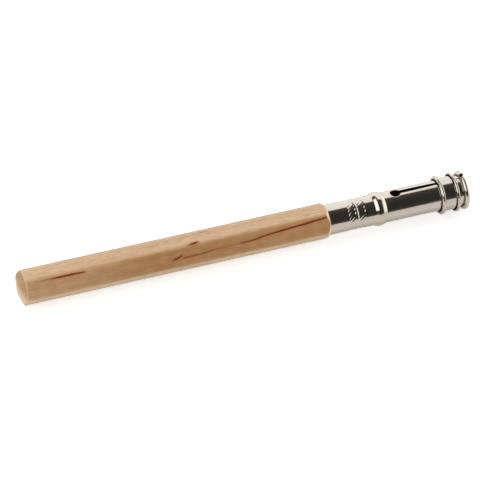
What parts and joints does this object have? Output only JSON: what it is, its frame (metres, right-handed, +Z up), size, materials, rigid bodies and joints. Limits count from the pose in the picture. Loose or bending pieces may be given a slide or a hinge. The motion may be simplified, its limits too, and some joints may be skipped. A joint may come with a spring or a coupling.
{
  "type": "pencil extender",
  "caption": "Pencil extender: hexagonal wooden handle, crimped nickel-plated ferrule with a slotted socket, and a sliding ring that clamps a pencil stub.",
  "frame": {"origin": "middle of the length, on the surface that the object lies on", "axes": "+X along the object's axis from the butt to the pencil's mouth, +Z up, square to a flat of the handle"},
  "size_m": [0.131, 0.011, 0.011],
  "materials": {
    "handle_wood": "sanded, thin clear wax",
    "nickel_plate": "bright nickel plate on pressed sheet"
  },
  "bodies": {
    "holder": {"handle": "handle_wood", "ferrule": "nickel_plate"},
    "ring": {"clamp_ring": "nickel_plate"},
    "right_jaw": {"jaw_right": "nickel_plate"},
    "left_jaw": {"jaw_left": "nickel_plate"}
  },
  "joints": [
    {"name": "ring_slide", "type": "slide", "parent": "holder", "child": "ring", "axis": [-1, 0, 0], "range_m": [-0.001, 0.0162]},
    {"name": "right_jaw_flex", "type": "hinge", "parent": "holder", "child": "right_jaw", "pos_m": [0.0449, -0.00427, 0.00599], "axis": [0, -0.1132, -0.9936], "range_deg": [-0.06, 1]},
    {"name": "left_jaw_flex", "type": "hinge", "parent": "holder", "child": "left_jaw", "pos_m": [0.0449, 0.00427, 0.00501], "axis": [0, 0.1132, 0.9936], "range_deg": [-0.06, 1]}
  ],
  "couplings": [
    {"joint": "right_jaw_flex", "follows": "ring_slide", "rad_per_m": 1.04},
    {"joint": "left_jaw_flex", "follows": "ring_slide", "rad_per_m": 1.04}
  ]
}
